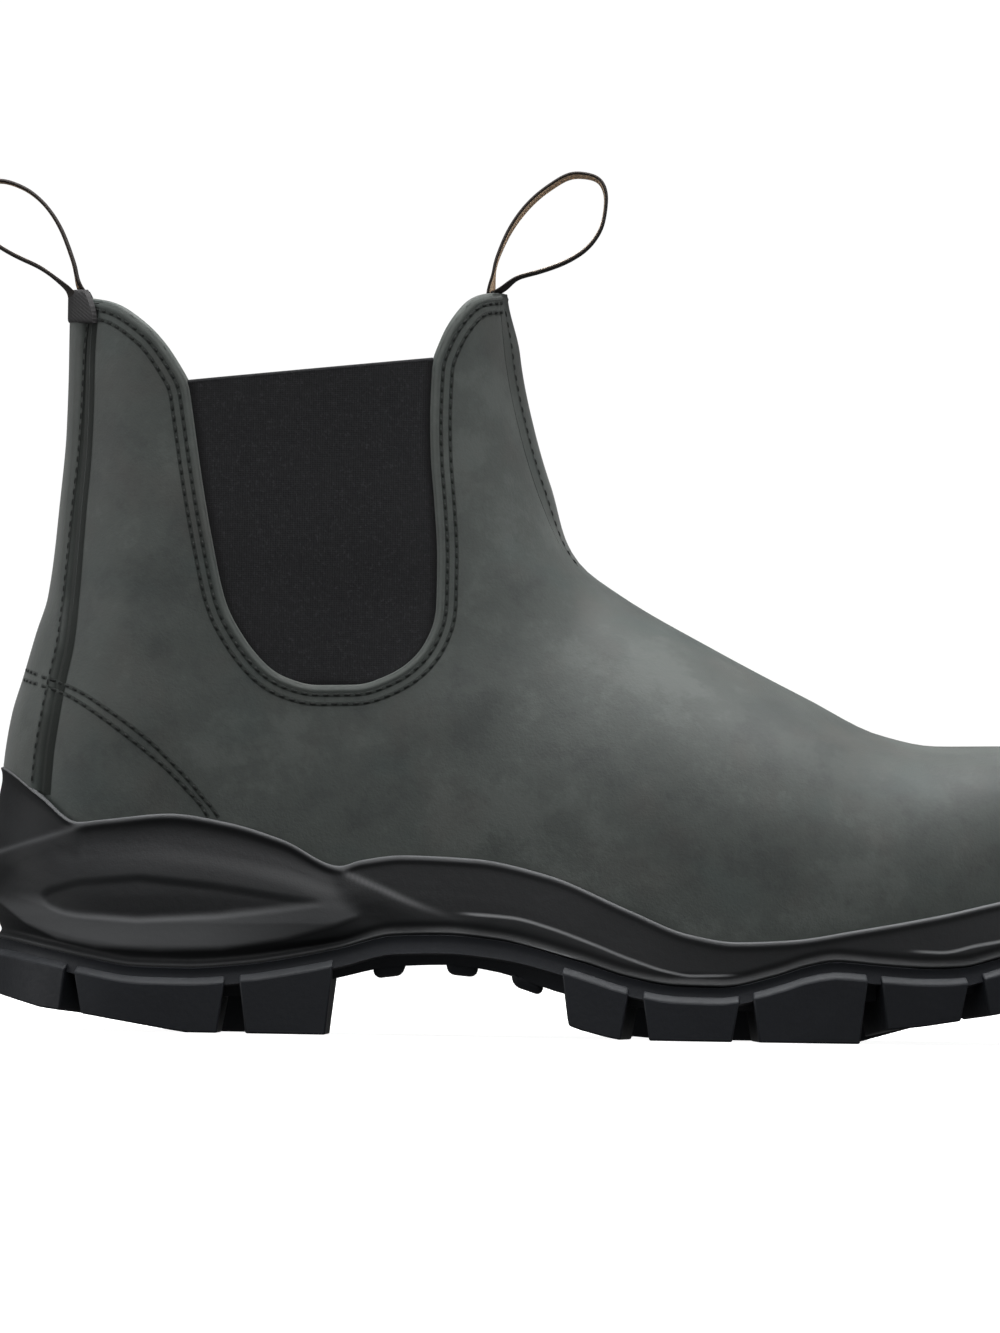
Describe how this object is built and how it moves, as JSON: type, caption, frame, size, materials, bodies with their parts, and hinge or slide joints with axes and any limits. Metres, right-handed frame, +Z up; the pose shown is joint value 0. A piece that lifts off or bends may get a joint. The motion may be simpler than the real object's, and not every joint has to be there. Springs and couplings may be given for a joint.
{
  "type": "side gore work boot",
  "caption": "Pull-on leather work boot with elastic side panels, webbing pull loops and a moulded sole with deep lugs.",
  "frame": {"origin": "on the floor, under the middle of the whole boot's bounding box", "axes": "+X towards the toe, -Y towards the outer side of the foot, +Z up"},
  "size_m": [0.301, 0.1118, 0.2191],
  "materials": {
    "leather": "matt waxed nubuck",
    "elastic": "matt knitted elastic",
    "webbing": "woven webbing",
    "midsole": "satin moulded",
    "outsole": "matt moulded",
    "footbed": "brushed fabric over foam"
  },
  "bodies": {
    "root": {"outsole": "outsole", "midsole": "midsole", "insole": "footbed", "upper": "leather", "gore_outer": "elastic", "gore_inner": "elastic", "back_strip": "leather", "front_strip": "leather", "pull_loop_front": "webbing", "pull_loop_back": "webbing"}
  },
  "joints": []
}
